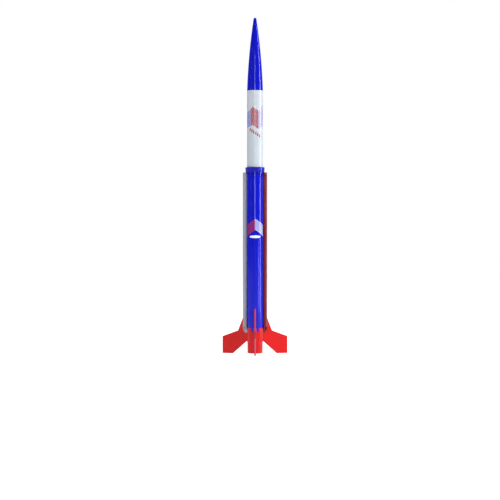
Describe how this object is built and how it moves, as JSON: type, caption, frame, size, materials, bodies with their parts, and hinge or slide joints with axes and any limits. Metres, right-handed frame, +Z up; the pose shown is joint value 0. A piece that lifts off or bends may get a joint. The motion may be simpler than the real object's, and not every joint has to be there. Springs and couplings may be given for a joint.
{
  "type": "model rocket",
  "caption": "Slim toy rocket with a blue pointed nose, white upper tube, blue lower body with side tubes, and red fins on a red tail can, for launching from a guide rod.",
  "frame": {"origin": "on the body axis, at the level of the feet of the fins", "axes": "+Z up along the body to the nose tip, -Y towards the front fin"},
  "size_m": [0.1022, 0.0889, 0.5244],
  "materials": {
    "blue_tube": "glossy film over paper",
    "white_tube": "glossy film over paper",
    "white_side": "glossy film over paper",
    "red_side": "glossy film over paper",
    "blue_plastic": "gloss moulded",
    "blue_nose": "gloss blow moulded",
    "red_plastic": "gloss moulded",
    "plug_plastic": "moulded",
    "igniter_plastic": "moulded",
    "card": "raw kraft",
    "card_white": "raw white",
    "motor_card": "raw kraft",
    "sticker_upper": "gloss printed",
    "sticker_lower": "gloss printed",
    "tape": "creped",
    "wadding": "crumpled tissue",
    "elastic": "braided",
    "line": "twisted",
    "yellow_film": "thin plastic film",
    "brass": "bright",
    "steel": "bright wire",
    "clay": "pressed",
    "black_powder": "pressed",
    "delay_mix": "pressed",
    "pyrogen": "dipped bead"
  },
  "bodies": {
    "airframe": {"lower_body_tube": "blue_tube", "upper_body_tube": "white_tube", "tube_coupler": "card", "body_collar": "blue_plastic", "side_tube_white": "white_side", "side_tube_red": "red_side", "side_tube_plugs": "plug_plastic", "launch_lug_lower": "card_white", "launch_lug_upper": "card_white", "fin_can": "red_plastic", "fin_front": "red_plastic", "fin_right": "red_plastic", "fin_left": "red_plastic", "motor_tube": "card", "thrust_ring": "card", "centering_ring_aft": "card", "centering_ring_forward": "card", "upper_sticker": "sticker_upper", "lower_sticker": "sticker_lower", "recovery_wadding": "wadding", "shock_cord_mount": "card_white", "shock_cord_coil": "elastic", "shock_cord_anchor_run": "elastic"},
    "nose": {"nose_cone": "blue_nose", "nose_weight": "steel", "nose_cone_plug": "plug_plastic", "swivel_barrel": "brass", "shock_cord_nose_run": "elastic"},
    "parachute_pack": {"snap_hook": "steel", "parachute": "yellow_film", "shroud_lines": "line"},
    "motor": {"motor_casing": "motor_card", "motor_tape": "tape", "motor_nozzle": "clay", "propellant_grain": "black_powder", "delay_grain": "delay_mix", "ejection_charge": "black_powder", "motor_end_cap": "clay"},
    "igniter": {"igniter_leads": "steel", "igniter_bead": "pyrogen", "igniter_plug": "igniter_plastic"}
  },
  "joints": [
    {"name": "nose_pull", "type": "slide", "parent": "airframe", "child": "nose", "axis": [0, 0, 1], "range_m": [0, 0.12]},
    {"name": "swivel_spin", "type": "hinge", "parent": "nose", "child": "parachute_pack", "pos_m": [0, 0, 0.374], "axis": [0, 0, 1], "continuous": true},
    {"name": "motor_slide", "type": "slide", "parent": "airframe", "child": "motor", "axis": [0, 0, -1], "range_m": [0, 0.08]},
    {"name": "igniter_pull", "type": "slide", "parent": "motor", "child": "igniter", "axis": [0, 0, -1], "range_m": [0, 0.02]}
  ]
}
